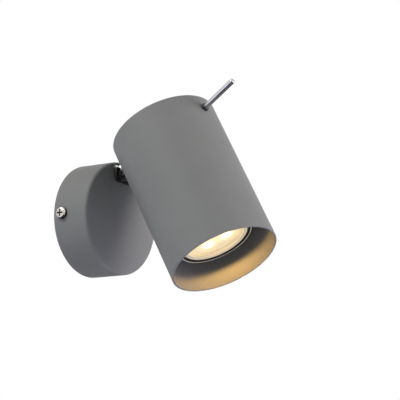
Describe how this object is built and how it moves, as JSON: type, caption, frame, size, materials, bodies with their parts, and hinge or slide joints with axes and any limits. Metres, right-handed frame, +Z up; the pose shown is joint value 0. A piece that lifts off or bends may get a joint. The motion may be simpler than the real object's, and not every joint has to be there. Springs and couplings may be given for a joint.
{
  "type": "pivoting spotlight wall light",
  "caption": "Wall light with a cylindrical spotlight head on a swivel above a round base; the head turns and tilts, and has an aiming pin.",
  "frame": {"origin": "centre of the round base on the wall, which is also the middle of the two wall-screw slots", "axes": "the wall is the plane Y = 0 and the light stands out towards -Y; +Z is up, +X is to the right of someone facing the wall"},
  "size_m": [0.0812, 0.144, 0.1347],
  "materials": {
    "grey_paint": "matt",
    "bright_screw": "bright nickel plated",
    "zinc_steel": "zinc plated",
    "chrome": "polished",
    "dark_chrome": "black polished",
    "black_metal": "satin",
    "brass": "plain",
    "rubber": "plain",
    "nylon": "plain",
    "terminal_plastic": "plain",
    "holder_ceramic": "unglazed",
    "lamp_plastic": "satin",
    "lamp_glass": "clear",
    "optic": "diffusing",
    "board": "white coated",
    "led": "lit"
  },
  "bodies": {
    "base": {"base_cover": "grey_paint", "cover_screws": "bright_screw", "wall_bracket": "zinc_steel", "cable_grommet": "rubber", "earth_washer": "brass", "earth_screw": "brass", "terminal_block": "terminal_plastic", "terminal_tubes": "brass", "terminal_screws": "zinc_steel", "terminal_fixing_screw": "zinc_steel", "face_washer": "nylon"},
    "swivel": {"swivel_hub": "dark_chrome", "stop_washer": "zinc_steel", "spring_washer": "zinc_steel", "stem_nut": "zinc_steel", "hinge_screws": "chrome"},
    "head": {"head_tube": "grey_paint", "hinge_saddle": "dark_chrome", "saddle_screws": "zinc_steel", "rear_cap": "grey_paint", "lamp_bracket": "zinc_steel", "bracket_screw": "zinc_steel", "aiming_pin": "chrome", "pin_collar": "black_metal", "pin_nut": "zinc_steel", "lamp_holder": "holder_ceramic", "holder_screws": "zinc_steel", "holder_contacts": "brass"},
    "lamp": {"lamp_body": "lamp_plastic", "lamp_base": "lamp_plastic", "lamp_studs": "zinc_steel", "lamp_glass": "lamp_glass", "led_board": "board", "led_chips": "led", "lamp_optic": "optic"}
  },
  "joints": [
    {"name": "pan", "type": "hinge", "parent": "base", "child": "swivel", "pos_m": [0, -0.027, 0.029], "axis": [0, -1, 0], "range_deg": [-155, 155]},
    {"name": "tilt", "type": "hinge", "parent": "swivel", "child": "head", "pos_m": [0, -0.033, 0.029], "axis": [-0.999, 0, 0.0436], "range_deg": [-30, 7]},
    {"name": "lamp_twist", "type": "hinge", "parent": "head", "child": "lamp", "pos_m": [-0.00035, -0.08098, 0.02091], "axis": [-0.0378, -0.5, -0.8652], "range_deg": [0, 25]}
  ]
}
